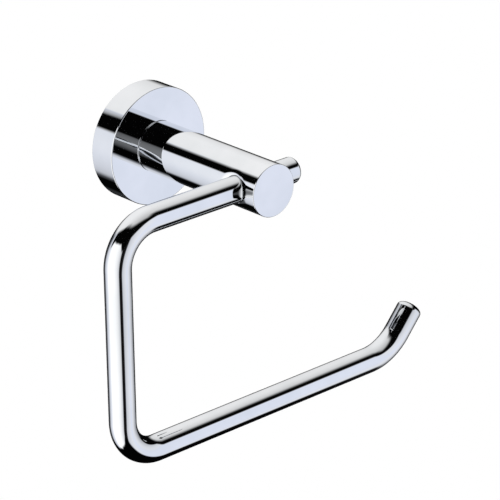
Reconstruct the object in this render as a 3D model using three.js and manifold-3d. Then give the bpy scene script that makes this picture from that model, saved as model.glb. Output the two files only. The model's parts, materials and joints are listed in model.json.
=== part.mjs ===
// Wall-mounted toilet paper holder: a round flange with a straight post, and a bent bar that swings in the post.
// Millimetres, +Z up. The origin is the centre of the wall face, on the post's axis. The wall is the plane y = 0,
// the room is on the -Y side, and +X is to the right for someone who faces the wall.
import * as THREE from "three";
import { mergeVertices } from "three/addons/utils/BufferGeometryUtils.js";
import Module from "manifold-3d";

const wasm = await Module();
wasm.setup();

// ---- driving dimensions ----
const CLEARANCE = 0.3; // gap left between separate pieces

const FLANGE_RADIUS = 27.5;
const FLANGE_DEPTH = 13.5; // wall to the flange's flat face
const FLANGE_WALL = 3;
const FLANGE_FACE = 3;
const FLANGE_ROUND = 1;

const POST_RADIUS = 12;
const POST_END = 89.5; // wall to the post's front disc
const POST_ROUND = 0.5;
const ARM_AXIS = 76.5; // wall to the bar's swing axis

const BAR_RADIUS = 6;
const NUB_END = 25; // the bar's short end, right of the post's axis
const LEG_X = 77.5; // the hanging leg, left of the post's axis
const DROP = 107.5; // swing axis down to the lower bar's axis
const BEND_RADIUS = 18.5;
const TIP_BEND_X = 70; // where the lower bar starts to bend up
const TIP_BEND_RADIUS = 25.5;
const TIP_ANGLE = THREE.MathUtils.degToRad(48.5);
const TIP_LENGTH = 14.8; // straight stretch after the last bend, with its domed end
const DOME_HEIGHT = 3;
const DOME_POWER = 2.2; // 2 would be a plain ellipse; a higher power is fuller at the edge
const GROOVE_RADIUS = 5.3; // bottom of the ring groove that the arm's set screw runs in
const GROOVE_WIDTH = 3.6;

const BRACKET_RADIUS = 22.5;
const BRACKET_RIM = 4; // width of the bracket's raised rim
const BRACKET_DEPTH = 8;
const BRACKET_WEB = 2.5;
const SLOT_OFFSET = 12.5; // bracket centre to each screw slot's centre
const SLOT_WIDTH = 5.2;
const SLOT_LENGTH = 10;
const V_GROOVE_DEPTH = 1.4;
const V_GROOVE_Y = 5; // wall to the middle of the V groove

const SET_SCREW_RADIUS = 2.5; // both set screws are M5
const SET_SCREW_SOCKET = 2.5; // across flats
const SET_SCREW_SOCKET_DEPTH = 2;
const SET_SCREW_RECESS = 0.4; // how far each set screw sits below the surface round it
const CONE_RADIUS = 0.6;
const DOG_RADIUS = 1.4;
const DOG_LENGTH = 1.4;

const POST_SCREW_RADIUS = 3; // M6
const POST_SCREW_DEPTH = 14; // how far its shank goes into the post
const POST_SCREW_HEAD_RADIUS = 5;
const POST_SCREW_HEAD = 3.2;
const POST_SCREW_SOCKET = 4;
const WASHER_RADIUS = 6.2;
const WASHER_THICKNESS = 1;
const SPRING_WASHER_RADIUS = 5.4;
const SPRING_WASHER_THICKNESS = 1.4;
const SPRING_WASHER_SPLIT = 1.2;
const PIN_RADIUS = 1.25;
const PIN_OFFSET = 8; // above the post's axis
const PIN_DEPTH = 3; // how far the pin goes into the post

const ROUND_SEGMENTS = 64; // round a large turned piece
const BAR_SEGMENTS = 32; // round the bar
const SMALL_SEGMENTS = 24; // round a screw, washer or pin
const BEND_STEPS = 9; // along a quarter bend
const ROUND_STEPS = 4; // along a rounded edge
const DOME_STEPS = 8; // from the bar's full section to its crown
const HEX_SIDES = 6;
const OVERCUT = 1; // how far a cutting shape runs past the surface it cuts

// ---- finishes ----
const chrome = () => new THREE.MeshStandardMaterial({ color: "#e4e6ea", roughness: 0.06, metalness: 1 });
const zinc = () => new THREE.MeshStandardMaterial({ color: "#b3b4b1", roughness: 0.42, metalness: 1 });
const steel = () => new THREE.MeshStandardMaterial({ color: "#8f9194", roughness: 0.32, metalness: 1 });

// ---- solids ----
// A closed geometry as a manifold solid that can be joined and cut.
function solid(geometry) {
  const bare = geometry.index ? geometry.toNonIndexed() : geometry.clone();
  bare.deleteAttribute("normal");
  bare.deleteAttribute("uv");
  const merged = mergeVertices(bare, 1e-4);
  return new wasm.Manifold(
    new wasm.Mesh({
      numProp: 3,
      vertProperties: merged.attributes.position.array,
      triVerts: new Uint32Array(merged.index.array),
    }),
  );
}

// A manifold solid as a named three.js mesh.
function mesh(name, shape, material) {
  const { vertProperties, triVerts } = shape.getMesh();
  const geometry = new THREE.BufferGeometry();
  geometry.setAttribute("position", new THREE.BufferAttribute(vertProperties, 3));
  geometry.setIndex(new THREE.BufferAttribute(triVerts, 1));
  geometry.computeVertexNormals();
  const made = new THREE.Mesh(geometry, material);
  made.name = name;
  return made;
}

// A shape turned about the Y axis from [radius, distance from the wall] points, listed from the wall outwards.
function turned(profile, segments) {
  const points = profile.map(([radius, depth]) => new THREE.Vector2(radius, depth));
  const geometry = new THREE.LatheGeometry(points, segments);
  return solid(geometry.rotateX(Math.PI));
}

// A straight round rod or cutter from one point to another.
function rod(radius, from, to, segments, endRadius = radius) {
  const a = new THREE.Vector3(...from);
  const b = new THREE.Vector3(...to);
  const along = b.clone().sub(a);
  const geometry = new THREE.CylinderGeometry(endRadius, radius, along.length(), segments);
  const up = new THREE.Vector3(0, 1, 0);
  geometry.applyQuaternion(new THREE.Quaternion().setFromUnitVectors(up, along.normalize()));
  const middle = a.add(b).multiplyScalar(0.5);
  return solid(geometry.translate(...middle.toArray()));
}

// A hexagon-key socket cut from one point towards another.
function socket(acrossFlats, from, to) {
  return rod(acrossFlats / 2 / Math.cos(Math.PI / HEX_SIDES), from, to, HEX_SIDES);
}

// Points of a quarter round on a turned profile, from [radius, depth] at its start to the flat it runs into.
function quarterRound(radius, depth, round) {
  return Array.from({ length: ROUND_STEPS + 1 }, (_, i) => {
    const angle = ((Math.PI / 2) * i) / ROUND_STEPS;
    return [radius - round * (1 - Math.cos(angle)), depth - round * (1 - Math.sin(angle))];
  });
}

// ---- flange ----
function flangeCover() {
  const inside = FLANGE_RADIUS - FLANGE_WALL;
  const floor = FLANGE_DEPTH - FLANGE_FACE;
  const cup = turned(
    [
      [0, floor],
      [inside, floor],
      [inside, 0],
      [FLANGE_RADIUS, 0],
      ...quarterRound(FLANGE_RADIUS, FLANGE_DEPTH, FLANGE_ROUND),
      [0, FLANGE_DEPTH],
    ],
    ROUND_SEGMENTS,
  );
  const through = [floor - OVERCUT, FLANGE_DEPTH + OVERCUT];
  const screwHole = rod(
    POST_SCREW_RADIUS + CLEARANCE,
    [0, -through[0], 0],
    [0, -through[1], 0],
    SMALL_SEGMENTS,
  );
  const pinHole = rod(
    PIN_RADIUS + CLEARANCE,
    [0, -through[0], PIN_OFFSET],
    [0, -through[1], PIN_OFFSET],
    SMALL_SEGMENTS,
  );
  const setScrewHole = rod(
    SET_SCREW_RADIUS + CLEARANCE,
    [0, -V_GROOVE_Y, -FLANGE_RADIUS - OVERCUT],
    [0, -V_GROOVE_Y, -inside + OVERCUT],
    SMALL_SEGMENTS,
  );
  return mesh("flange_cover", cup.subtract(screwHole).subtract(pinHole).subtract(setScrewHole), chrome());
}

function wallBracket() {
  const rimInside = BRACKET_RADIUS - BRACKET_RIM;
  const disc = turned(
    [
      [0, 0],
      [BRACKET_RADIUS, 0],
      [BRACKET_RADIUS, V_GROOVE_Y - V_GROOVE_DEPTH],
      [BRACKET_RADIUS - V_GROOVE_DEPTH, V_GROOVE_Y],
      [BRACKET_RADIUS, V_GROOVE_Y + V_GROOVE_DEPTH],
      [BRACKET_RADIUS, BRACKET_DEPTH],
      [rimInside, BRACKET_DEPTH],
      [rimInside, BRACKET_WEB],
      [0, BRACKET_WEB],
    ],
    ROUND_SEGMENTS,
  );
  // The left slot is level and the right one upright, so the disc can be straightened on the wall.
  const slot = (x, level) => {
    const reach = (SLOT_LENGTH - SLOT_WIDTH) / 2;
    const outline = new THREE.Shape();
    outline.absarc(reach, 0, SLOT_WIDTH / 2, -Math.PI / 2, Math.PI / 2);
    outline.absarc(-reach, 0, SLOT_WIDTH / 2, Math.PI / 2, (3 * Math.PI) / 2);
    const depth = BRACKET_WEB + 2 * OVERCUT;
    const geometry = new THREE.ExtrudeGeometry(outline, { depth, bevelEnabled: false, curveSegments: 8 });
    geometry.rotateZ(level ? 0 : Math.PI / 2);
    geometry.rotateX(Math.PI / 2);
    return solid(geometry.translate(x, OVERCUT, 0));
  };
  const cut = disc.subtract(slot(-SLOT_OFFSET, true)).subtract(slot(SLOT_OFFSET, false));
  return mesh("wall_bracket", cut, zinc());
}

// ---- post ----
function post() {
  const rear = FLANGE_DEPTH + CLEARANCE;
  const body = turned(
    [
      [0, rear],
      [POST_RADIUS - POST_ROUND, rear],
      [POST_RADIUS, rear + POST_ROUND],
      ...quarterRound(POST_RADIUS, POST_END, POST_ROUND),
      [0, POST_END],
    ],
    ROUND_SEGMENTS,
  );
  const crossBore = rod(
    BAR_RADIUS + CLEARANCE,
    [-POST_RADIUS - OVERCUT, -ARM_AXIS, 0],
    [POST_RADIUS + OVERCUT, -ARM_AXIS, 0],
    BAR_SEGMENTS,
  );
  const tappedRear = rod(
    POST_SCREW_RADIUS + CLEARANCE,
    [0, -rear + OVERCUT, 0],
    [0, -rear - POST_SCREW_DEPTH - CLEARANCE, 0],
    SMALL_SEGMENTS,
  );
  const pinHole = rod(
    PIN_RADIUS + CLEARANCE,
    [0, -rear + OVERCUT, PIN_OFFSET],
    [0, -rear - PIN_DEPTH - CLEARANCE, PIN_OFFSET],
    SMALL_SEGMENTS,
  );
  const setScrewHole = rod(
    SET_SCREW_RADIUS + CLEARANCE,
    [0, -ARM_AXIS, -POST_RADIUS - OVERCUT],
    [0, -ARM_AXIS, 0],
    SMALL_SEGMENTS,
  );
  const cut = [crossBore, tappedRear, pinHole, setScrewHole].reduce((left, tool) => left.subtract(tool), body);
  return mesh("post", cut, chrome());
}

// ---- arm ----
// The bar's centre line from the nub to the tip, as three.js curves in the plane of the swing axis.
function barPath() {
  const at = (x, z) => new THREE.Vector3(x, -ARM_AXIS, z);
  const path = new THREE.CurvePath();
  const straight = (from, to) => path.add(new THREE.LineCurve3(from, to));
  const bend = (x, z, radius, start, end) => {
    const steps = Math.max(3, Math.round((BEND_STEPS * Math.abs(end - start)) / (Math.PI / 2)));
    const points = Array.from({ length: steps + 1 }, (_, i) => {
      const angle = start + ((end - start) * i) / steps;
      return at(x + radius * Math.cos(angle), z + radius * Math.sin(angle));
    });
    points.slice(1).forEach((point, i) => straight(points[i], point));
    return points[points.length - 1];
  };
  const innerX = BEND_RADIUS - LEG_X;
  straight(at(NUB_END - DOME_HEIGHT, 0), at(innerX, 0));
  bend(innerX, -BEND_RADIUS, BEND_RADIUS, Math.PI / 2, Math.PI);
  straight(at(-LEG_X, -BEND_RADIUS), at(-LEG_X, BEND_RADIUS - DROP));
  bend(innerX, BEND_RADIUS - DROP, BEND_RADIUS, Math.PI, 1.5 * Math.PI);
  straight(at(innerX, -DROP), at(TIP_BEND_X, -DROP));
  const last = bend(TIP_BEND_X, TIP_BEND_RADIUS - DROP, TIP_BEND_RADIUS, 1.5 * Math.PI, 1.5 * Math.PI + TIP_ANGLE);
  const reach = TIP_LENGTH - DOME_HEIGHT;
  straight(last, last.clone().add(at(reach * Math.cos(TIP_ANGLE), reach * Math.sin(TIP_ANGLE)).setY(0)));
  return path;
}

// A ring of points round the bar at one place on its centre line. The plane of the bar has no Y component, so
// the ring's two directions are Y and the in-plane normal.
function ring(centre, tangent, radius) {
  const across = new THREE.Vector3(0, 1, 0);
  const normal = new THREE.Vector3().crossVectors(tangent, across).normalize();
  return Array.from({ length: BAR_SEGMENTS }, (_, i) => {
    const angle = (2 * Math.PI * i) / BAR_SEGMENTS;
    return centre
      .clone()
      .addScaledVector(across, radius * Math.cos(angle))
      .addScaledVector(normal, radius * Math.sin(angle));
  });
}

// The rings of a domed end, from just past the full section out to just short of its crown.
function domeRings(centre, outward, tangent) {
  return Array.from({ length: DOME_STEPS }, (_, i) => {
    const angle = ((Math.PI / 2) * (i + 1)) / (DOME_STEPS + 1);
    const out = centre.clone().addScaledVector(outward, DOME_HEIGHT * Math.sin(angle));
    return ring(out, tangent, BAR_RADIUS * Math.cos(angle) ** (2 / DOME_POWER));
  });
}

// A closed skin over a row of rings, with a fan of triangles over each end.
function skin(rings, firstCrown, lastCrown) {
  const positions = [...rings.flat(), firstCrown, lastCrown];
  const first = rings.length * BAR_SEGMENTS;
  const index = [];
  for (let i = 0; i < BAR_SEGMENTS; i++) {
    const j = (i + 1) % BAR_SEGMENTS;
    for (let k = 0; k + 1 < rings.length; k++) {
      const a = k * BAR_SEGMENTS;
      const b = a + BAR_SEGMENTS;
      index.push(a + i, a + j, b + i, a + j, b + j, b + i);
    }
    const end = first - BAR_SEGMENTS;
    index.push(first, j, i, first + 1, end + i, end + j);
  }
  const geometry = new THREE.BufferGeometry().setFromPoints(positions);
  return geometry.setIndex(index);
}

function arm() {
  const curves = barPath().curves;
  const starts = curves.map((curve) => curve.v1);
  const directions = curves.map((curve) => curve.v2.clone().sub(curve.v1).normalize());
  const end = curves[curves.length - 1].v2;
  const outOfNub = directions[0].clone().negate();
  const outOfTip = directions[directions.length - 1];
  const nubDome = domeRings(starts[0], outOfNub, directions[0]).reverse();
  const tipDome = domeRings(end, outOfTip, outOfTip);
  const sections = starts.map((start, i) => {
    const before = directions[Math.max(0, i - 1)];
    return ring(start, before.clone().add(directions[i]).normalize(), BAR_RADIUS);
  });
  sections.push(ring(end, outOfTip, BAR_RADIUS));
  const bar = solid(
    skin(
      [...nubDome, ...sections, ...tipDome],
      starts[0].clone().addScaledVector(outOfNub, DOME_HEIGHT),
      end.clone().addScaledVector(outOfTip, DOME_HEIGHT),
    ),
  );
  const half = GROOVE_WIDTH / 2;
  const from = [-half, -ARM_AXIS, 0];
  const to = [half, -ARM_AXIS, 0];
  const groove = rod(BAR_RADIUS + OVERCUT, from, to, BAR_SEGMENTS).subtract(
    rod(GROOVE_RADIUS, [-half - OVERCUT, -ARM_AXIS, 0], [half + OVERCUT, -ARM_AXIS, 0], BAR_SEGMENTS),
  );
  return mesh("arm", bar.subtract(groove), chrome());
}

// ---- fasteners ----
// A set screw that points up: its socket end is at the bottom, and its shank stops under a narrower tip.
function setScrew(name, y, bottom, shoulder, tipTop, tipRadius, coned) {
  const shank = rod(SET_SCREW_RADIUS, [0, y, bottom], [0, y, shoulder], SMALL_SEGMENTS);
  const start = coned ? SET_SCREW_RADIUS : tipRadius;
  const overlap = coned ? 0 : OVERCUT / 2;
  const tip = rod(start, [0, y, shoulder - overlap], [0, y, tipTop], SMALL_SEGMENTS, tipRadius);
  const key = socket(SET_SCREW_SOCKET, [0, y, bottom - OVERCUT], [0, y, bottom + SET_SCREW_SOCKET_DEPTH]);
  return mesh(name, shank.add(tip).subtract(key), steel());
}

function flangeSetScrew() {
  const tipTop = -(BRACKET_RADIUS - V_GROOVE_DEPTH) - CLEARANCE - CONE_RADIUS;
  const shoulder = tipTop - (SET_SCREW_RADIUS - CONE_RADIUS);
  return setScrew(
    "flange_set_screw",
    -V_GROOVE_Y,
    -FLANGE_RADIUS + SET_SCREW_RECESS,
    shoulder,
    tipTop,
    CONE_RADIUS,
    true,
  );
}

function armSetScrew() {
  const tipTop = -GROOVE_RADIUS - CLEARANCE;
  const bottom = -POST_RADIUS + SET_SCREW_RECESS;
  return setScrew("arm_set_screw", -ARM_AXIS, bottom, tipTop - DOG_LENGTH, tipTop, DOG_RADIUS, false);
}

// The stack under the post screw, as distances from the wall: each piece stands a clearance off the next one.
const WASHER_TOP = FLANGE_DEPTH - FLANGE_FACE - CLEARANCE;
const SPRING_WASHER_TOP = WASHER_TOP - WASHER_THICKNESS - CLEARANCE;
const HEAD_TOP = SPRING_WASHER_TOP - SPRING_WASHER_THICKNESS - CLEARANCE;

function postScrew() {
  const headBottom = HEAD_TOP - POST_SCREW_HEAD;
  const tip = FLANGE_DEPTH + CLEARANCE + POST_SCREW_DEPTH;
  const head = rod(POST_SCREW_HEAD_RADIUS, [0, -headBottom, 0], [0, -HEAD_TOP, 0], SMALL_SEGMENTS);
  const shank = rod(POST_SCREW_RADIUS, [0, -HEAD_TOP + OVERCUT, 0], [0, -tip, 0], SMALL_SEGMENTS);
  const key = socket(POST_SCREW_SOCKET, [0, -headBottom + OVERCUT, 0], [0, -HEAD_TOP + OVERCUT, 0]);
  return mesh("post_screw", head.add(shank).subtract(key), steel());
}

function washer(name, top, thickness, radius, split) {
  const hole = POST_SCREW_RADIUS + CLEARANCE;
  const bottom = top - thickness;
  const disc = rod(radius, [0, -bottom, 0], [0, -top, 0], SMALL_SEGMENTS);
  const bore = rod(hole, [0, -bottom + OVERCUT, 0], [0, -top - OVERCUT, 0], SMALL_SEGMENTS);
  const annulus = disc.subtract(bore);
  if (!split) return mesh(name, annulus, steel());
  const gap = new THREE.BoxGeometry(radius, thickness + 2 * OVERCUT, split);
  const cutter = solid(gap.translate(hole - OVERCUT + radius / 2, -(top + bottom) / 2, 0));
  return mesh(name, annulus.subtract(cutter), steel());
}

function locatingPin() {
  const from = [0, -(FLANGE_DEPTH - FLANGE_FACE), PIN_OFFSET];
  const to = [0, -(FLANGE_DEPTH + CLEARANCE + PIN_DEPTH), PIN_OFFSET];
  return mesh("post_locating_pin", rod(PIN_RADIUS, from, to, SMALL_SEGMENTS), steel());
}

// ---- assembly ----
const group = new THREE.Group();

const fixed = new THREE.Group();
fixed.add(
  wallBracket(),
  flangeCover(),
  flangeSetScrew(),
  post(),
  postScrew(),
  washer("post_spring_washer", SPRING_WASHER_TOP, SPRING_WASHER_THICKNESS, SPRING_WASHER_RADIUS, SPRING_WASHER_SPLIT),
  washer("post_washer", WASHER_TOP, WASHER_THICKNESS, WASHER_RADIUS, 0),
  locatingPin(),
  armSetScrew(),
);

const swinging = new THREE.Group();
swinging.add(arm());

group.add(fixed, swinging);

export default group;
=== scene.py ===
# %% [markdown]
# # A chrome toilet paper holder
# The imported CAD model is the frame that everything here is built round. It is loaded first, and its outer
# box is kept, because the finished pieces have to stay inside it.

# %% Load the frame
import json
import math

import bmesh
import bpy
from mathutils import Matrix, Vector


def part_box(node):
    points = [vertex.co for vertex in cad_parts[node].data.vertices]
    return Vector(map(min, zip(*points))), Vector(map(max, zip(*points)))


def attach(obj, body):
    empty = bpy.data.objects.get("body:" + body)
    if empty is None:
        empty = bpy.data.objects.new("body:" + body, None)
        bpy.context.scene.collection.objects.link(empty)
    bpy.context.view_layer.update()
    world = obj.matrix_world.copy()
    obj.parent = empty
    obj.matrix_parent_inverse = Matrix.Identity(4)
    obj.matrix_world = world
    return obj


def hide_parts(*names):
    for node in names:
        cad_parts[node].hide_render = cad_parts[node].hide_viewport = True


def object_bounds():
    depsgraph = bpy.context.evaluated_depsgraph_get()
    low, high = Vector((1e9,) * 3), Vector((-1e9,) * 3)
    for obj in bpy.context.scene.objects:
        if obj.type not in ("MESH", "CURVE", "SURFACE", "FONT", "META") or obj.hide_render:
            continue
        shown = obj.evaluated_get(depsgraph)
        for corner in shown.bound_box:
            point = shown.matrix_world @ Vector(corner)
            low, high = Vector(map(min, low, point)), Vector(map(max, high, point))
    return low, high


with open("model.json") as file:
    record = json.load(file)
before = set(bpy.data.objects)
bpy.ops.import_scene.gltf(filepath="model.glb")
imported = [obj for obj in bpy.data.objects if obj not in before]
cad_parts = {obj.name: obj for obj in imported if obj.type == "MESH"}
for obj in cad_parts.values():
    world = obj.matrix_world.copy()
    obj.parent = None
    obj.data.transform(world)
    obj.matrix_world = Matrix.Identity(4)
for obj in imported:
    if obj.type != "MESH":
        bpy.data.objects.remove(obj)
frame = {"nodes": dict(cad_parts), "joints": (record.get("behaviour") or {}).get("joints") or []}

cad_low, cad_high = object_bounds()
MM = 0.001
print("CAD box in mm:", [round(v / MM, 1) for v in (cad_high - cad_low)])

# %% [markdown]
# The camera stands high on the left of the holder and looks down at it through a long lens, so the post
# points past its right shoulder and parallel edges hardly converge. It is placed by two angles and a
# distance from a point near the post, and rolled by less than a degree, as a tripod that was levelled by
# eye is.

# %% Camera
AZIMUTH, ELEVATION, ROLL = (math.radians(v) for v in (-42.11, 22.79, -0.77))
CAMERA_DISTANCE = 1.27878
LENS = 205.92
AIM = Vector((0, -50 * MM, -50 * MM))
AIM_RIGHT, AIM_UP = 15.93 * MM, 9.43 * MM

back = Vector((
    math.sin(AZIMUTH) * math.cos(ELEVATION),
    -math.cos(AZIMUTH) * math.cos(ELEVATION),
    math.sin(ELEVATION),
))
right = Vector((math.cos(AZIMUTH), math.sin(AZIMUTH), 0))
up = back.cross(right)
rolled_right = math.cos(ROLL) * right + math.sin(ROLL) * up
rolled_up = math.cos(ROLL) * up - math.sin(ROLL) * right

camera = bpy.data.objects.new("camera", bpy.data.cameras.new("camera"))
bpy.context.scene.collection.objects.link(camera)
camera.data.lens = LENS
camera.data.sensor_width = 36
camera.data.clip_end = 100
turn = Matrix((rolled_right, rolled_up, back)).transposed()
stand = AIM + AIM_RIGHT * right + AIM_UP * up + CAMERA_DISTANCE * back
camera.matrix_world = Matrix.Translation(stand) @ turn.to_4x4()
bpy.context.scene.camera = camera
print("camera at", [round(v, 3) for v in camera.location])

# %% [markdown]
# Every size is measured from the frame: the flange, post and bar are round, so half of a box's width is a
# radius. Only what a box can't tell is typed in: how the bar is bent, and how far its short end stands out
# of the post.

# %% Measure the holder
flange_low, flange_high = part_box("flange_cover")
post_low, post_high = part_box("post")
arm_low, arm_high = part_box("arm")
swing = Vector(frame["joints"][0]["pos_m"])

FLANGE_RADIUS = (flange_high.x - flange_low.x) / 2
FLANGE_FRONT = flange_low.y
POST_RADIUS = (post_high.x - post_low.x) / 2
POST_FRONT = post_low.y
BAR_RADIUS = (arm_high.y - arm_low.y) / 2
LEG_X = arm_low.x + BAR_RADIUS
BOTTOM_Z = arm_low.z + BAR_RADIUS
AXIS_Y = swing.y

NUB_END = 25 * MM
BEND_RADIUS = 18.5 * MM
TIP_BEND_X = 70 * MM
TIP_BEND_RADIUS = 25.5 * MM
TIP_ANGLE = math.radians(48.5)
TIP_LENGTH = 14.8 * MM
radii = (FLANGE_RADIUS, POST_RADIUS, BAR_RADIUS)
print("flange, post and bar radius in mm:", [round(r / MM, 2) for r in radii])

# %% [markdown]
# Polished chrome is a mirror, and a mirror shows every dent in a mesh. Smooth shading guesses a surface's
# direction from the faces round each vertex, which ripples near holes and edges. So each shape here is
# worked out with its true normals, and those are stored in the mesh: flat faces then reflect flat, and
# rounds reflect round.

# %% From points, faces and normals to an object
def add_object(name, points, faces):
    mesh = bpy.data.meshes.new(name)
    mesh.from_pydata([tuple(p) for p in points], [], faces)
    obj = bpy.data.objects.new(name, mesh)
    bpy.context.scene.collection.objects.link(obj)
    return obj


SAME_PLACE = 1e-7  # points closer than this, in metres, are one point


def point_key(point):
    return tuple(round(c / SAME_PLACE) for c in point)


def tidy_mesh(obj):
    shape = bmesh.new()
    shape.from_mesh(obj.data)
    bmesh.ops.remove_doubles(shape, verts=shape.verts, dist=SAME_PLACE)
    loose = [v for v in shape.verts if not v.link_faces]
    bmesh.ops.delete(shape, geom=loose, context="VERTS")
    bmesh.ops.recalc_face_normals(shape, faces=shape.faces)
    shape.to_mesh(obj.data)
    shape.free()


ALIKE = 0.8  # two directions whose cosine is above this belong to the same surface


def store_normals(obj, points, normals, rule=None):
    """Gives each face corner the true normal known for its point. A corner that has none, or whose face turns
    too far from it, takes the answer of rule(point, face normal), or else its face's own normal."""
    known = {point_key(p): Vector(n).normalized() for p, n in zip(points, normals)}
    mesh = obj.data
    corners = []
    for face in mesh.polygons:
        for index in face.vertices:
            point = mesh.vertices[index].co
            normal = known.get(point_key(point))
            if normal is None or normal.dot(face.normal) < ALIKE:
                normal = (rule and rule(point, face.normal)) or face.normal
            corners.append(normal)
    mesh.shade_smooth()
    mesh.normals_split_custom_set(corners)

# %% [markdown]
# The bar is one solid rod, bent cold and then plated. Its centre line could be a curve object, but then its
# bends would only be near to arcs. A real bender makes true arcs with straight runs between, so the line is
# walked: like a pen, it is told how far to go and how much to turn.

# %% Walk the bar's centre line
def walk(start, heading, moves, arc_step=math.radians(2.5), straight_step=4 * MM):
    """Points and directions along a path in the XZ plane. A move is ("run", length) or
    ("turn", radius, angle), with a positive angle turning from +X towards +Z."""
    place, angle = Vector(start), heading
    stations = [(place.copy(), angle)]
    for kind, *how in moves:
        if kind == "run":
            steps = max(1, round(how[0] / straight_step))
            for _ in range(steps):
                place = place + Vector((math.cos(angle), 0, math.sin(angle))) * (how[0] / steps)
                stations.append((place.copy(), angle))
            continue
        radius, bend = how
        side = math.copysign(1, bend)
        centre = place + Vector((-math.sin(angle), 0, math.cos(angle))) * radius * side
        steps = max(2, round(abs(bend) / arc_step))
        first = angle
        for i in range(1, steps + 1):
            angle = first + bend * i / steps
            place = centre - Vector((-math.sin(angle), 0, math.cos(angle))) * radius * side
            stations.append((place.copy(), angle))
    return stations


DOME_HEIGHT = 3 * MM
DOME_POWER = 2.2  # 2 would be a plain ellipse; a higher power is fuller at the edge
QUARTER = math.pi / 2
inner_x = LEG_X + BEND_RADIUS
bar_line = walk(
    (NUB_END - DOME_HEIGHT, AXIS_Y, 0),
    math.pi,
    [
        ("run", NUB_END - DOME_HEIGHT - inner_x),
        ("turn", BEND_RADIUS, QUARTER),
        ("run", -BOTTOM_Z - 2 * BEND_RADIUS),
        ("turn", BEND_RADIUS, QUARTER),
        ("run", TIP_BEND_X - inner_x),
        ("turn", TIP_BEND_RADIUS, TIP_ANGLE),
        ("run", TIP_LENGTH - DOME_HEIGHT),
    ],
)
print(len(bar_line), "stations along the bar; it ends at", [round(c / MM, 1) for c in bar_line[-1][0]])

# %% [markdown]
# A curve with a round bevel would give the bar's skin at once, but not its domed ends or the groove that
# hides in the post. A hand-made sweep does all three in one pass: it carries a circle along the line and
# lets each station have its own radius, and its own lean, which is how far the surface tips forward there.

# %% Sweep a skin along the line
CROWN_RISE = 0.02  # the crown point's height over the last ring, as a share of that ring's radius


def direction(angle):
    return Vector((math.cos(angle), 0, math.sin(angle)))


def sweep(stations, sides):
    """A closed skin along (centre, angle, radius, lean) stations. The lean is in radians, forward along the
    path. Both ends close on a crown point."""
    points, normals, faces = [], [], []
    across = Vector((0, 1, 0))
    for centre, angle, radius, lean in stations:
        ahead = direction(angle)
        upward = ahead.cross(across)
        for i in range(sides):
            turn_angle = 2 * math.pi * i / sides
            out = across * math.cos(turn_angle) + upward * math.sin(turn_angle)
            points.append(centre + out * radius)
            normals.append(out * math.cos(lean) + ahead * math.sin(lean))
    for k in range(len(stations) - 1):
        for i in range(sides):
            a, b = k * sides + i, k * sides + (i + 1) % sides
            faces.append((a, b, b + sides, a + sides))
    for k, sign in ((0, -1), (len(stations) - 1, 1)):
        centre, angle, radius, _ = stations[k]
        crown = len(points)
        points.append(centre + direction(angle) * sign * radius * CROWN_RISE)
        normals.append(direction(angle) * sign)
        faces += [(crown, k * sides + i, k * sides + (i + 1) % sides) for i in range(sides)]
    return points, normals, faces

# %% [markdown]
# The bar's ends are turned to low domes, full at the edge and nearly flat in the middle. Half an ellipse is
# a little too thin at the edge, so the outline is a superellipse, a curve whose power says how full it is.

# %% Domed ends
DOME_RINGS = 14
DOME_CROWDING = 1.6  # above 1, the rings lie closer together towards the crown
DOME_LAST_GAP = 0.6  # from the last ring to the crown, in steps


def dome(centre, angle, sign):
    """Stations of a domed end; sign is 1 at the path's end and -1 at its start."""
    stations = []
    for i in range(1, DOME_RINGS + 1):
        t = QUARTER * (1 - (1 - i / (DOME_RINGS + DOME_LAST_GAP)) ** DOME_CROWDING)
        share = math.cos(t) ** (2 / DOME_POWER)
        out = DOME_HEIGHT * math.sin(t)
        lean = math.atan2(2 * math.sin(t) / DOME_HEIGHT, DOME_POWER * share ** (DOME_POWER - 1) / BAR_RADIUS)
        stations.append((centre + direction(angle) * sign * out, angle, BAR_RADIUS * share, lean * sign))
    return stations

# %% [markdown]
# Inside the post a ring groove is turned in the bar, and the tip of a set screw runs in it: the bar can
# swing, but it can't slide out. The groove is two walls, each with a round at its top and a fillet at its
# foot, and it takes the place of the plain stations there.

# %% The groove, and the whole bar
GROOVE_RADIUS, GROOVE_WIDTH = 5.3 * MM, 3.6 * MM
GROOVE_ROUND = 0.2 * MM
GROOVE_STEPS = 4  # facets in each of its rounds
BAR_SIDES = 128


def groove_wall(x, falls):
    """Stations of one wall of the groove at x, on the run that heads towards -X."""
    made = []
    for k in range(2 * GROOVE_STEPS + 1):
        upper = k <= GROOVE_STEPS
        t = min(k, 2 * GROOVE_STEPS - k) / GROOVE_STEPS * QUARTER
        curl = GROOVE_ROUND * math.sin(t)
        drop = GROOVE_ROUND * (1 - math.cos(t))
        radius = BAR_RADIUS - drop if upper else GROOVE_RADIUS + drop
        shift = GROOVE_ROUND - curl if upper else curl - GROOVE_ROUND
        lean = t if falls else -t
        made.append((Vector((x + (shift if falls else -shift), AXIS_Y, 0)), math.pi, radius, lean))
    return made if falls else made[::-1]


def put_groove(stations):
    """Swaps the plain stations round x = 0 for the groove's two walls."""
    half = GROOVE_WIDTH / 2
    reach = half + GROOVE_ROUND
    top = [k for k, s in enumerate(stations) if abs(s[0].z) < BAR_RADIUS and s[0].x > -reach]
    before = [stations[k] for k in top if stations[k][0].x > reach]
    return before + groove_wall(half, True) + groove_wall(-half, False) + stations[top[-1] + 1 :]


bar_stations = put_groove([(centre, angle, BAR_RADIUS, 0) for centre, angle in bar_line])
first_centre, first_angle = bar_line[0]
last_centre, last_angle = bar_line[-1]
near_dome, far_dome = dome(first_centre, first_angle, -1)[::-1], dome(last_centre, last_angle, 1)
bar_points, bar_normals, bar_faces = sweep(near_dome + bar_stations + far_dome, BAR_SIDES)
arm = add_object("bent_bar", bar_points, bar_faces)
tidy_mesh(arm)
store_normals(arm, bar_points, bar_normals)
print("bar:", len(arm.data.polygons), "faces")

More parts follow.
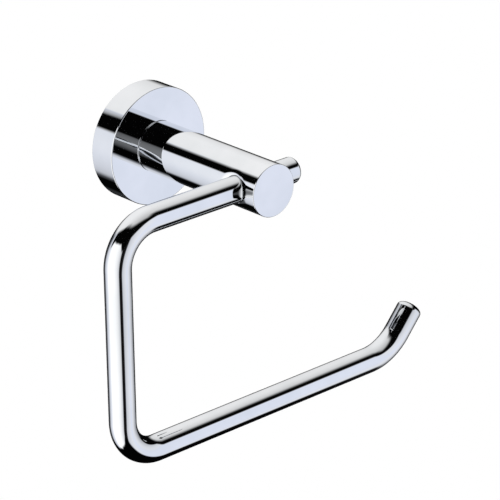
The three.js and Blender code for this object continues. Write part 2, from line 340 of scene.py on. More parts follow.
# %% [markdown]
# The post, the flange and the washers are turned on a lathe, so each is an outline spun about the post's
# axis. A machined corner is never quite sharp: it is broken by a few tenths of a millimetre, and that thin
# round is what catches the light. So an outline is a list of corners, each with the radius of its round.

# %% Outlines with rounded corners
STRAIGHT = 1e-4  # a corner that turns by less than this, in radians, is no corner


def outline(corners, closed=False, arc_steps=5):
    """Points (radius, y) and normals of an outline through (radius, y, round) corners. It runs from the room
    end to the wall end, with the solid on its left, and an open one starts and ends on the axis."""
    spots = [Vector(c[:2]) for c in corners]
    count = len(spots)
    made = []
    for i, (_, _, rounding) in enumerate(corners):
        here = spots[i]
        before, after = spots[i - 1], spots[(i + 1) % count]
        if not closed and i == 0:
            made.append((here, side_of(after - here)))
            continue
        if not closed and i == count - 1:
            made.append((here, side_of(here - before)))
            continue
        come, go = (here - before).normalized(), (after - here).normalized()
        n0, n1 = side_of(come), side_of(go)
        half = math.acos(max(-1, min(1, come.dot(go)))) / 2
        if half < STRAIGHT:
            made.append((here, n0))
            continue
        reach = rounding * math.tan(half)
        bulge = math.copysign(1, come.x * go.y - come.y * go.x)
        centre = here - come * reach - n0 * rounding * bulge
        for k in range(arc_steps + 1):
            share_0, share_1 = math.sin(half * 2 * (1 - k / arc_steps)), math.sin(half * 2 * k / arc_steps)
            normal = (n0 * share_0 + n1 * share_1).normalized()
            made.append((centre + normal * rounding * bulge, normal))
    return made


def side_of(heading):
    """The outward side of an outline: to the right of the way it runs."""
    heading = heading.normalized()
    return Vector((heading.y, -heading.x))


def spin(line, columns, closed=False):
    """Spins outline points about the Y axis. columns are the angles, from +X towards +Z."""
    points, normals, faces, rows = [], [], [], []
    for spot, normal in line:
        if spot.x < SAME_PLACE:
            rows.append([len(points)])
            points.append(Vector((0, spot.y, 0)))
            normals.append(Vector((0, normal.y, 0)))
            continue
        rows.append(list(range(len(points), len(points) + len(columns))))
        for angle in columns:
            points.append(Vector((spot.x * math.cos(angle), spot.y, spot.x * math.sin(angle))))
            normals.append(Vector((normal.x * math.cos(angle), normal.y, normal.x * math.sin(angle))))
    pairs = list(zip(rows, rows[1:])) + ([(rows[-1], rows[0])] if closed else [])
    for low, high in pairs:
        for i in range(len(columns)):
            j = (i + 1) % len(columns)
            face = [low[i % len(low)], low[j % len(low)], high[j % len(high)], high[i % len(high)]]
            faces.append([v for n, v in enumerate(face) if v not in face[:n]])
    return points, normals, faces, rows


def even_columns(count):
    return [2 * math.pi * i / count for i in range(count)]

# %% [markdown]
# The post is bar stock, faced at the front and tapped at the rear for the screw that holds it. The bar goes
# through a bore across it, and where the two cylinders meet, the edge is a saddle curve. A boolean would
# cut it, but it leaves long thin faces round the hole, and a bevel tears on them. So the spun skin gets a
# fine square window of faces on each side, which can be left out and filled in another way.

# %% Turn the post, with a window on each side
BORE_RADIUS = BAR_RADIUS + 0.08 * MM
BORE_ROUND = 0.4 * MM
DIP_WIDTH, DIP_DEPTH = 2.2 * MM, 0.25 * MM  # the polished hollow round each mouth of the bore
WINDOW = BORE_RADIUS + BORE_ROUND + DIP_WIDTH
WINDOW_COLUMNS, WINDOW_ROWS = 36, 30
BACK_COLUMNS, SHAFT_ROWS = 20, 14

POST_REAR = FLANGE_FRONT - 0.02 * MM
POST_ROUND = 0.35 * MM
REAR_BEVEL, TAP_BEVEL = 0.5 * MM, 0.4 * MM
TAPPED_RADIUS, TAPPED_DEPTH = 3.02 * MM, 15 * MM
DRILL_POINT = 1.2 * MM  # the cone that a drill leaves at the bottom of its hole
DEBURRED = 0.05 * MM  # the round of an edge that only had its burr taken off

window_angle = math.asin(WINDOW / POST_RADIUS)
side_columns = [window_angle * (2 * i / WINDOW_COLUMNS - 1) for i in range(WINDOW_COLUMNS)]
back_columns = [window_angle + (math.pi - 2 * window_angle) * i / BACK_COLUMNS for i in range(BACK_COLUMNS)]
post_columns = [a + half for half in (0, math.pi) for a in side_columns + back_columns]

window_rows = [AXIS_Y + WINDOW * (2 * i / WINDOW_ROWS - 1) for i in range(WINDOW_ROWS + 1)]
window_end = window_rows[-1]
shaft_rows = [window_end + (POST_REAR - window_end) * i / SHAFT_ROWS for i in range(1, SHAFT_ROWS)]
post_line = outline(
    [(0, POST_FRONT, 0), (POST_RADIUS * 0.5, POST_FRONT, 0), (POST_RADIUS, POST_FRONT, POST_ROUND)]
    + [(POST_RADIUS, y, 0) for y in window_rows + shaft_rows]
    + [
        (POST_RADIUS, POST_REAR - REAR_BEVEL, 0.15 * MM),
        (POST_RADIUS - REAR_BEVEL, POST_REAR, 0.1 * MM),
        (TAPPED_RADIUS + TAP_BEVEL, POST_REAR, DEBURRED),
        (TAPPED_RADIUS, POST_REAR - TAP_BEVEL, DEBURRED),
        (TAPPED_RADIUS, POST_REAR - TAPPED_DEPTH, DEBURRED),
        (0, POST_REAR - TAPPED_DEPTH - DRILL_POINT, 0),
    ]
)
post_points, post_normals, post_faces, post_rows = spin(post_line, post_columns)
print("post before its bore:", len(post_faces), "faces in", len(post_rows), "rows")

# %% [markdown]
# Rings now run from each window's edge in to the bore. The first ones lie on the post's cylinder, and sink
# by a quarter of a millimetre near the bore: a polishing mop pulls the metal down a little round every
# hole, and that shallow hollow is what bends the reflections beside the bar. The next rings roll over the
# broken edge, and the last ones run down the bore to the middle of the post, where those of the two sides
# meet.

# %% Lay the rings of the cross bore
FACE_RINGS, EDGE_RINGS, BORE_RINGS = 14, 6, 4
TOUCH = 0.02 * MM  # what is nearer than this lies on the same surface


def open_window(points, normals, faces, rows, side):
    """Lists the faces in the window on the +X side (1) or -X side (-1), and lays rings in their place."""
    total = len(post_columns)
    start = 0 if side > 0 else total // 2
    columns = [(start + i) % total for i in range(WINDOW_COLUMNS + 1)]
    first = next(k for k, (spot, _) in enumerate(post_line) if abs(spot.y - window_rows[0]) < TOUCH)
    last = first + WINDOW_ROWS
    gone = {k * total + c for k in range(first, last) for c in columns[:-1]}
    edge = (
        [rows[first][c] for c in columns]
        + [rows[k][columns[-1]] for k in range(first + 1, last)]
        + [rows[last][c] for c in reversed(columns)]
        + [rows[k][columns[0]] for k in range(last - 1, first, -1)]
    )
    spokes = []
    for index in edge:
        y, z = points[index].y - AXIS_Y, points[index].z
        spokes.append((Vector((0, y, z)).normalized(), math.hypot(y, z)))

    rim = BORE_RADIUS + BORE_ROUND

    def on_post(out, reach):
        z = out.z * reach
        x = math.sqrt(POST_RADIUS**2 - z * z)
        near = max(0, 1 - (reach - rim) / DIP_WIDTH)
        slope = 2 * DIP_DEPTH / DIP_WIDTH * near
        normal = Vector((side, -slope * out.y, z / x - slope * out.z)).normalized()
        return Vector((side * (x - DIP_DEPTH * near**2), AXIS_Y + out.y * reach, z)), normal

    loops = [edge]

    def add_loop(pairs):
        loops.append(list(range(len(points), len(points) + len(pairs))))
        points.extend(p for p, _ in pairs)
        normals.extend(n for _, n in pairs)

    for k in range(1, FACE_RINGS + 1):
        add_loop([on_post(out, reach + (rim - reach) * k / FACE_RINGS) for out, reach in spokes])
    for k in range(1, EDGE_RINGS + 1):
        t = k / EDGE_RINGS
        pairs = []
        for out, _ in spokes:
            start_point, start_normal = on_post(out, rim)
            corner_x = on_post(out, BORE_RADIUS)[0].x
            corner = Vector((corner_x, AXIS_Y + out.y * BORE_RADIUS, out.z * BORE_RADIUS))
            end_point = corner - Vector((side * BORE_ROUND, 0, 0))
            place = start_point * (1 - t) ** 2 + corner * 2 * t * (1 - t) + end_point * t * t
            pairs.append((place, (start_normal * (1 - t) - out * t).normalized()))
        add_loop(pairs)
    depth = [points[i].x for i in loops[-1]]
    for k in range(1, BORE_RINGS + 1):
        pairs = []
        for (out, _), x in zip(spokes, depth):
            pairs.append((Vector((x * (1 - k / BORE_RINGS), AXIS_Y, 0)) + out * BORE_RADIUS, -out))
        add_loop(pairs)
    for outer, inner in zip(loops, loops[1:]):
        for i in range(len(edge)):
            j = (i + 1) % len(edge)
            faces.append([outer[i], outer[j], inner[j], inner[i]])
    return gone


left_out = set()
for side in (1, -1):
    left_out |= open_window(post_points, post_normals, post_faces, post_rows, side)
post_faces = [f for i, f in enumerate(post_faces) if i not in left_out]
post = add_object("turned_post", post_points, post_faces)
tidy_mesh(post)
print("post with its bore:", len(post.data.polygons), "faces")

# %% [markdown]
# Screws, pins and drills are rods, and a rod is a pile of rings. If each ring's radius may change with the
# angle, one function makes them all: a number is round, a hexagon gives a key socket, and a groove that
# climbs once per pitch is a screw thread. Blender has a screw modifier, but rings also give the run-out and
# the pointed end.

# %% Rods from rings
def hexagon(across):
    """The radius of a hexagon at an angle, from its width across flats."""
    return lambda angle: across / 2 / math.cos(angle % (math.pi / 3) - math.pi / 6)


def rod(name, rings, columns, place):
    """A closed rod of (height, radius) rings, its axis along local Z; place puts it in the holder."""
    points, faces, starts = [], [], []
    for height, radius in rings:
        starts.append(len(points))
        for i in range(columns):
            angle = 2 * math.pi * i / columns
            reach = radius(angle) if callable(radius) else radius
            points.append(place @ Vector((reach * math.cos(angle), reach * math.sin(angle), height)))
    for a, b in zip(starts, starts[1:]):
        for i in range(columns):
            j = (i + 1) % columns
            faces.append((a + i, a + j, b + j, b + i))
    faces.append(tuple(range(columns - 1, -1, -1)))
    faces.append(tuple(range(starts[-1], starts[-1] + columns)))
    made = add_object(name, points, faces)
    tidy_mesh(made)
    return made


TO_ROOM = Matrix.Rotation(QUARTER, 4, "X")  # turns a rod's height into distance from the wall
OVERCUT = 1 * MM  # how far a cutter stands out of what it cuts


def cut(obj, cutter):
    """Takes the cutter's volume out of the object, and throws the cutter away."""
    change = obj.modifiers.new("cut", "BOOLEAN")
    change.operation, change.solver, change.object = "DIFFERENCE", "EXACT", cutter
    shown = obj.evaluated_get(bpy.context.evaluated_depsgraph_get())
    obj.data = bpy.data.meshes.new_from_object(shown)
    obj.modifiers.clear()
    bpy.data.objects.remove(cutter)


def drill(obj, radius, start, end, place, sides, bevel=0):
    """Drills a hole from the surface at height start in to height end, and bevels its mouth if asked."""
    rings = [(start - OVERCUT, radius), (end, radius)]
    if bevel:
        rings[:1] = [(start - OVERCUT, radius + OVERCUT + bevel), (start + bevel, radius)]
    cut(obj, rod("drill", rings, sides, place))


def on_cylinders(*cylinders):
    """A rule for store_normals: a point on a (centre, axis, radius, sign) cylinder gets its normal."""
    def rule(point, face_normal):
        for centre, axis, radius, sign in cylinders:
            out = point - Vector(centre)
            out -= Vector(axis) * out.dot(Vector(axis))
            if abs(out.length - radius) < TOUCH and (out.normalized() * sign).dot(face_normal) > ALIKE:
                return out.normalized() * sign
        return None
    return rule

# %% [markdown]
# The post has two more holes that nobody sees once it is on the wall: a shallow one in its rear face for
# the locating pin, and a tapped one underneath for the set screw that holds the bar. Both are drilled by a
# boolean, which is safe here because the true normals are stored afterwards.

# %% Drill the post
pin_low, pin_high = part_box("post_locating_pin")
PIN_RADIUS = (pin_high.x - pin_low.x) / 2
PIN_Z = (pin_high.z + pin_low.z) / 2
SET_SCREW_RADIUS = 2.5 * MM
FIT = 0.03 * MM  # play between a pin or thread and its hole
PIN_HOLE, SCREW_HOLE = PIN_RADIUS + FIT, SET_SCREW_RADIUS + FIT
MOUTH_BEVEL = 0.3 * MM
PIN_END_ROOM = 0.3 * MM
PIN_SIDES, SCREW_SIDES = 48, 64

pin_place = Matrix.Translation((0, 0, PIN_Z)) @ TO_ROOM
drill(post, PIN_HOLE, -POST_REAR, -pin_low.y + PIN_END_ROOM, pin_place, PIN_SIDES)
below_bar = Matrix.Translation((0, AXIS_Y, 0))
drill(post, SCREW_HOLE, -POST_RADIUS, -BAR_RADIUS * 0.5, below_bar, SCREW_SIDES, MOUTH_BEVEL)
store_normals(post, post_points, post_normals, on_cylinders(
    ((0, 0, 0), (0, 1, 0), POST_RADIUS, 1),
    ((0, AXIS_Y, 0), (1, 0, 0), BORE_RADIUS, -1),
    ((0, AXIS_Y, 0), (0, 0, 1), SCREW_HOLE, -1),
    ((0, 0, PIN_Z), (0, 1, 0), PIN_HOLE, -1),
))
print("drilled post:", len(post.data.polygons), "faces")

# %% [markdown]
# The flange is a cup turned from brass bar: a flat face that was faced off last, a straight side, and an
# inside that only has to clear the bracket. Its front edge has a small even round, which is one of the
# bright lines that a polished fitting is known by. Three holes go through it: for the post's screw, for the
# pin, and for the set screw that locks the cup to the bracket from below.

# %% Turn and drill the flange
FLANGE_ROUND = 0.45 * MM
FLANGE_WALL = 3 * MM
FLANGE_INSIDE = FLANGE_RADIUS - FLANGE_WALL
FLANGE_FLOOR = FLANGE_FRONT + FLANGE_WALL
RIM_BEVEL = 0.3 * MM
SCREW_WAY = 3.3 * MM  # radius of the hole that the post's screw goes through
FLANGE_SIDES = 192
lock_low, lock_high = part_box("flange_set_screw")
V_Y = (lock_low.y + lock_high.y) / 2

flange_line = outline([
    (SCREW_WAY, FLANGE_FRONT, DEBURRED),
    (FLANGE_RADIUS * 0.7, FLANGE_FRONT, 0),
    (FLANGE_RADIUS, FLANGE_FRONT, FLANGE_ROUND),
    (FLANGE_RADIUS, FLANGE_FRONT / 2, 0),
    (FLANGE_RADIUS, 0, 0.25 * MM),
    (FLANGE_INSIDE + RIM_BEVEL, 0, 0.1 * MM),
    (FLANGE_INSIDE, -RIM_BEVEL, 0.1 * MM),
    (FLANGE_INSIDE, FLANGE_FLOOR, 0.6 * MM),
    (SCREW_WAY, FLANGE_FLOOR, 0.1 * MM),
], closed=True)
flange_points, flange_normals, flange_faces, _ = spin(flange_line, even_columns(FLANGE_SIDES), closed=True)
flange = add_object("turned_flange", flange_points, flange_faces)
tidy_mesh(flange)
drill(flange, PIN_HOLE, -FLANGE_FLOOR, -FLANGE_FRONT + OVERCUT, pin_place, PIN_SIDES)
under_cup = Matrix.Translation((0, V_Y, 0))
drill(flange, SCREW_HOLE, -FLANGE_RADIUS, -FLANGE_INSIDE + OVERCUT, under_cup, SCREW_SIDES, MOUTH_BEVEL)
store_normals(flange, flange_points, flange_normals, on_cylinders(
    ((0, 0, 0), (0, 1, 0), FLANGE_RADIUS, 1),
    ((0, 0, 0), (0, 1, 0), FLANGE_INSIDE, -1),
    ((0, V_Y, 0), (0, 0, 1), SCREW_HOLE, -1),
    ((0, 0, PIN_Z), (0, 1, 0), PIN_HOLE, -1),
))
print("flange:", len(flange.data.polygons), "faces")

# %% [markdown]
# The bracket is the part that takes the load: a dish of die-cast zinc that is screwed to the wall and then
# hidden for good by the flange. A casting shows how it left its mould. Its walls lean by a degree or two so
# that it lets go, its inner corners are filleted so that the metal flows, and the pins that push it out
# leave round dents. The slots get a broken edge at both faces, because the screws are slid along them while
# the disc is levelled.

# %% Cast the wall bracket
bracket_low, bracket_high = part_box("wall_bracket")
BRACKET_RADIUS = (bracket_high.x - bracket_low.x) / 2
BRACKET_FRONT = bracket_low.y
RIM_INSIDE = BRACKET_RADIUS - 4 * MM
WEB = -2.5 * MM  # the front of the dish's floor
V_DEPTH = 1.4 * MM
DRAFT = 0.2 * MM
BRACKET_SIDES = 144

bracket_line = outline([
    (0, WEB, 0),
    (RIM_INSIDE, WEB, 0.9 * MM),
    (RIM_INSIDE + DRAFT, BRACKET_FRONT, 0.4 * MM),
    (BRACKET_RADIUS, BRACKET_FRONT, 0.5 * MM),
    (BRACKET_RADIUS, V_Y - V_DEPTH, 0.1 * MM),
    (BRACKET_RADIUS - V_DEPTH, V_Y, 0.2 * MM),
    (BRACKET_RADIUS, V_Y + V_DEPTH, 0.1 * MM),
    (BRACKET_RADIUS, 0, 0.5 * MM),
    (0, 0, 0),
])
bracket_points, bracket_normals, bracket_faces, _ = spin(bracket_line, even_columns(BRACKET_SIDES))
bracket = add_object("cast_bracket", bracket_points, bracket_faces)
tidy_mesh(bracket)
print("plain bracket:", len(bracket.data.polygons), "faces")

# %% Its slots and ejector marks
SLOT_OFFSET, SLOT_WIDTH, SLOT_LENGTH = 12.5 * MM, 5.2 * MM, 10 * MM
SLOT_BREAK = 0.3 * MM
SLOT_SIDES = 72
EJECTOR_CIRCLE, EJECTOR_DEPTH = 14 * MM, 0.15 * MM
EJECTOR_RADIUS, EJECTOR_MOUTH = 1.5 * MM, 1.6 * MM
EJECTOR_SIDES = 32


def slot_radius(extra):
    """The outline of a slot with its long way along local X, as a radius at each angle."""
    half, straight = SLOT_WIDTH / 2 + extra, (SLOT_LENGTH - SLOT_WIDTH) / 2

    def radius(angle):
        c, s = abs(math.cos(angle)), abs(math.sin(angle))
        if s > 1e-9 and half * c / s < straight:
            return half / s
        return straight * c + math.sqrt(max(0, half**2 - (straight * s) ** 2))
    return radius


for x, turned in ((-SLOT_OFFSET, 0), (SLOT_OFFSET, QUARTER)):
    place = Matrix.Translation((x, 0, 0)) @ TO_ROOM @ Matrix.Rotation(turned, 4, "Z")
    wide, plain = slot_radius(SLOT_BREAK + OVERCUT), slot_radius(0)
    heights = [(-OVERCUT, wide), (SLOT_BREAK, plain), (-WEB - SLOT_BREAK, plain), (-WEB + OVERCUT, wide)]
    cut(bracket, rod("slot", heights, SLOT_SIDES, place))
for i in range(4):
    spot = direction(QUARTER * (i + 0.5)) * EJECTOR_CIRCLE
    dent = [(-WEB - EJECTOR_DEPTH, EJECTOR_RADIUS), (-WEB + OVERCUT, EJECTOR_MOUTH)]
    cut(bracket, rod("ejector_mark", dent, EJECTOR_SIDES, Matrix.Translation(spot) @ TO_ROOM))
store_normals(bracket, bracket_points, bracket_normals)
print("bracket with its slots:", len(bracket.data.polygons), "faces")

# %% [markdown]
# The fasteners are small, but they are what a person meets when the holder comes apart, so their threads
# are real. A metric thread is a 60 degree groove, 0.61 pitches deep, with a flat crest and a slightly wider
# root. It fades out where the die stopped, and starts on a bevelled end so that it finds its hole.

# %% Threads
TURN = 2 * math.pi
ROWS_PER_PITCH = 10
THREAD_DEPTH, CREST, FLANKS = 0.61, 1 / 8, 5 / 8  # in pitches


def thread_rings(outer, pitch, low, high, fade_low, fade_high):
    """Rings of a thread from low to high. The groove fades in over fade_low and out over fade_high."""
    steps = math.ceil((high - low) / pitch * ROWS_PER_PITCH)
    rings = []
    for k in range(steps + 1):
        height = low + (high - low) * k / steps
        fade = min(1, (height - low) / fade_low, (high - height) / fade_high)
        rings.append((height, groove_at(outer, pitch, height, max(0, fade))))
    return rings


def groove_at(outer, pitch, height, fade):
    def radius(angle):
        phase = (height / pitch - angle / TURN) % 1
        share = (abs(2 * phase - 1) - CREST) / FLANKS
        return outer - THREAD_DEPTH * pitch * fade * max(0, min(1, share))
    return radius

# %% [markdown]
# A set screw has no head: a key goes in its end. One has a cone point, which bites in the bracket's groove
# and pulls the flange to the wall. The other has a dog point, a short plain pin that runs in the bar's
# groove. They are the same screw with another tip, so one function makes both. Small machined parts can be
# smooth shaded with sharp edges above an angle, because nobody sees a mirror image in them.

# %% Set screws
SET_SCREW_PITCH = 0.8 * MM
SET_SCREW_KEY, SET_SCREW_KEY_DEPTH = 2.5 * MM, 2 * MM
SOCKET_END = 0.05 * MM  # radius at the very bottom of a key socket
ROD_SIDES = 60


def show_edges(obj, degrees=32):
    obj.data.shade_smooth()
    obj.data.set_sharp_from_angle(angle=math.radians(degrees))
    return obj


def set_screw(name, node, tip):
    """A set screw that points up. tip lists the rings above its thread as (depth below the tip, radius)."""
    low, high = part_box(node)
    place = Matrix.Translation(((low.x + high.x) / 2, (low.y + high.y) / 2, 0))
    bottom, top = low.z, high.z
    outer = SET_SCREW_RADIUS - 0.01 * MM
    socket_bottom = bottom + SET_SCREW_KEY_DEPTH
    thread_low, thread_high = bottom + 0.4 * MM, top - tip[0][0] - 0.05 * MM
    rings = [
        (socket_bottom + 0.5 * MM, SOCKET_END),
        (socket_bottom, hexagon(SET_SCREW_KEY)),
        (bottom + 0.12 * MM, hexagon(SET_SCREW_KEY)),
        (bottom, hexagon(SET_SCREW_KEY + 0.25 * MM)),
        (bottom, outer - 0.45 * MM),
        (bottom + 0.3 * MM, outer - 0.15 * MM),
    ]
    rings += thread_rings(outer, SET_SCREW_PITCH, thread_low, thread_high, 0.3 * MM, 0.3 * MM)
    rings += [(top - below, radius) for below, radius in tip]
    return show_edges(rod(name, rings, ROD_SIDES, place))


cone_tip = [(1.9 * MM, 2.35 * MM), (0.1 * MM, 0.62 * MM), (0, 0.5 * MM)]
dog_tip = [
    (1.55 * MM, 2.2 * MM), (1.4 * MM, 1.6 * MM), (1.35 * MM, 1.4 * MM), (0.2 * MM, 1.4 * MM), (0, 1.2 * MM),
]
cone_point = set_screw("cone_point_screw", "flange_set_screw", cone_tip)
dog_point = set_screw("dog_point_screw", "arm_set_screw", dog_tip)
print("set screws:", len(cone_point.data.polygons), "and", len(dog_point.data.polygons), "faces")

# %% [markdown]
# The post is pulled against the flange by a socket head cap screw, put in from the hidden side. Its head is
# a low drum with a rounded edge on top and a key socket, and under it the shank stays plain for a turn or
# so, because the die that rolls the thread can't reach right up to the head.

# %% The screw that holds the post
screw_low, screw_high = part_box("post_screw")
HEAD_RADIUS, HEAD_HEIGHT = (screw_high.x - screw_low.x) / 2, 3.2 * MM
HEAD_KEY, HEAD_KEY_DEPTH = 4 * MM, 2.2 * MM
SHANK_RADIUS, SHANK_PITCH, SHANK_SIDES = 2.99 * MM, 1 * MM, 72
head_low, head_high, screw_tip = -screw_high.y, -screw_high.y + HEAD_HEIGHT, -screw_low.y
head_rings = [
    (head_low + HEAD_KEY_DEPTH + 0.4 * MM, SOCKET_END),
    (head_low + HEAD_KEY_DEPTH, hexagon(HEAD_KEY)),
    (head_low + 0.15 * MM, hexagon(HEAD_KEY)),
    (head_low, hexagon(HEAD_KEY + 0.3 * MM)),
    (head_low, HEAD_RADIUS - 0.6 * MM),
    (head_low + 0.12 * MM, HEAD_RADIUS - 0.25 * MM),
    (head_low + 0.4 * MM, HEAD_RADIUS - 0.03 * MM),
    (head_low + 0.6 * MM, HEAD_RADIUS),
    (head_high - 0.15 * MM, HEAD_RADIUS),
    (head_high, HEAD_RADIUS - 0.15 * MM),
    (head_high, SHANK_RADIUS + 0.2 * MM),
    (head_high + 0.2 * MM, SHANK_RADIUS),
]
thread_low, thread_high = head_high + 1.5 * MM, screw_tip - 0.7 * MM
shank_rings = thread_rings(SHANK_RADIUS, SHANK_PITCH, thread_low, thread_high, 1.2 * MM, 0.1 * MM)
end_rings = [(screw_tip - 0.6 * MM, SHANK_RADIUS - 0.2 * MM), (screw_tip, SHANK_RADIUS - 0.8 * MM)]
cap_screw = show_edges(rod("cap_screw", head_rings + shank_rings + end_rings, SHANK_SIDES, TO_ROOM))
print("cap screw:", len(cap_screw.data.polygons), "faces")

# %% [markdown]
# Under the cap screw's head sit two washers. The plain one is punched from strip, so one face has rounded
# edges and the other sharp ones. The spring washer is a turn of square wire cut through at a slant: even
# when it is screwed down hard, its two ends stand a little apart, and that shows it for what it is. The pin
# is ground bar with a rounded end.

# %% Washers and pin
washer_low, washer_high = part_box("post_washer")
WASHER_RADIUS = (washer_high.x - washer_low.x) / 2
washer_line = outline([
    (SCREW_WAY, washer_low.y, 0.25 * MM),
    (WASHER_RADIUS, washer_low.y, 0.3 * MM),
    (WASHER_RADIUS, washer_high.y, 0.08 * MM),
    (SCREW_WAY, washer_high.y, 0.08 * MM),
], closed=True)
WASHER_SIDES = 96
washer_points, washer_normals, washer_faces, _ = spin(washer_line, even_columns(WASHER_SIDES), closed=True)
washer = add_object("punched_washer", washer_points, washer_faces)
tidy_mesh(washer)
store_normals(washer, washer_points, washer_normals)


def spring_washer(name, node, inner, gap_angle, slant, rise, steps=90):
    """One turn of square wire round the Y axis, from one cut end to the other."""
    low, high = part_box(node)
    outer = (high.z - low.z) / 2
    corner, middle = 0.12 * MM, (low.y + high.y) / 2
    half_wide, half_high = (outer - inner) / 2, (high.y - low.y - rise) / 2
    section = []
    for side_x, side_y, first in ((1, 1, 0), (-1, 1, 1), (-1, -1, 2), (1, -1, 3)):
        for k in range(4):
            t = QUARTER * (first + k / 3)
            across = side_x * (half_wide - corner) + corner * math.cos(t)
            along = side_y * (half_high - corner) + corner * math.sin(t)
            section.append((across, along))
    points, faces = [], []
    for k in range(steps + 1):
        share = k / steps
        for across, along in section:
            angle = gap_angle / 2 + (TURN - gap_angle) * share + slant * along / half_high
            reach = (inner + outer) / 2 + across
            lift = middle + along + rise * (share - 0.5)
            points.append((reach * math.cos(angle), lift, reach * math.sin(angle)))
    count = len(section)
    for k in range(steps):
        for i in range(count):
            a, b = k * count + i, k * count + (i + 1) % count
            faces.append((a, b, b + count, a + count))
    faces.append(tuple(range(count - 1, -1, -1)))
    faces.append(tuple(range(steps * count, (steps + 1) * count)))
    made = add_object(name, points, faces)
    tidy_mesh(made)
    return show_edges(made, degrees=50)


WIRE_INSIDE, WIRE_RISE = 3.15 * MM, 0.12 * MM
WIRE_GAP, WIRE_SLANT = math.radians(14), math.radians(6)
spring = spring_washer("spring_washer", "post_spring_washer", WIRE_INSIDE, WIRE_GAP, WIRE_SLANT, WIRE_RISE)
pin_rings = [
    (-pin_high.y, PIN_RADIUS - 0.25 * MM),
    (-pin_high.y + 0.25 * MM, PIN_RADIUS),
    (-pin_low.y - 0.6 * MM, PIN_RADIUS),
    (-pin_low.y - 0.3 * MM, PIN_RADIUS - 0.1 * MM),
    (-pin_low.y - 0.1 * MM, PIN_RADIUS - 0.35 * MM),
    (-pin_low.y, PIN_RADIUS - 0.8 * MM),
]
GROUND_SIDES = 40
pin = show_edges(rod("ground_pin", pin_rings, GROUND_SIDES, pin_place), degrees=40)
print("washers and pin:", [len(o.data.polygons) for o in (washer, spring, pin)], "faces")

# %% [markdown]
# Each piece now takes the place of its plain CAD twin and moves with the same body, so that the bar swings
# in the post and everything else stays on the wall.

# %% Put the pieces in the frame
PIECES = [
    (arm, "arm", "arm", "chrome"),
    (post, "post", "holder", "chrome"),
    (flange, "flange_cover", "holder", "chrome"),
    (bracket, "wall_bracket", "holder", "zinc"),
    (cone_point, "flange_set_screw", "holder", "steel"),
    (dog_point, "arm_set_screw", "holder", "steel"),
    (cap_screw, "post_screw", "holder", "steel"),
    (washer, "post_washer", "holder", "steel"),
    (spring, "post_spring_washer", "holder", "steel"),
    (pin, "post_locating_pin", "holder", "steel"),
]
for piece, node, body, slot in PIECES:
    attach(piece, body)
    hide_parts(node)
print(len(PIECES), "pieces stand for", len(frame["nodes"]), "CAD nodes")

# %% [markdown]
# The finishes come next. Each is a small node tree, and one function adds every node in it.

# %% One function adds a node
def add(tree, kind, settings=(), links=()):
    """Adds a node, sets its attributes, and fills its inputs with values or with sockets of other nodes."""
    node = tree.nodes.new(kind)
    for name, value in dict(settings).items():
        setattr(node, name, value)
    for name, value in dict(links).items():
        if isinstance(value, bpy.types.NodeSocket):
            tree.links.new(value, node.inputs[name])
        else:
            node.inputs[name].default_value = value
    return node


def linear(hex_colour):
    """An sRGB hex colour such as #e4e6ea as linear red, green, blue and alpha."""
    parts = [int(hex_colour[i : i + 2], 16) / 255 for i in (1, 3, 5)]
    return [c / 12.92 if c <= 0.04045 else ((c + 0.055) / 1.055) ** 2.4 for c in parts] + [1.0]


def new_material(name):
    """A metal with nothing linked yet: its tree, its shader, and its coordinates in metres."""
    material = bpy.data.materials.new(name)
    material.use_nodes = True
    tree = material.node_tree
    shader = tree.nodes["Principled BSDF"]
    shader.inputs["Metallic"].default_value = 1
    return material, tree, shader, add(tree, "ShaderNodeTexCoord").outputs["Object"]


def per(size):
    """A noise scale, in features per metre, from the size of one feature."""
    return 1 / size

# %% [markdown]
# Chrome plate is a film of chromium under half a thousandth of a millimetre thick, over nickel, over
# polished brass. It copies whatever is under it, so its look is a polisher's work: a near mirror, slightly
# bluish grey. What gives it away as real is what little is wrong with it: a haze in patches a few
# centimetres wide where the mop ran hotter, and hairlines left by the last wipe. Both are faint, because
# the metal has to stay a mirror. The hairlines of a real cloth are too fine to see, so they are drawn a
# third of a millimetre wide.

# %% Chrome plate, mirror polished
HAZE = 26 * MM
HAIRLINE, HAIRLINE_LENGTH = 0.35 * MM, 14 * MM
WIPE_ANGLES = (0.5, 0.35, 0.2)  # the cloth went slantwise over everything
CLEAR, HAZED, SCRATCHED = 0.012, 0.035, 0.02  # roughness; a hairline adds its own to the haze


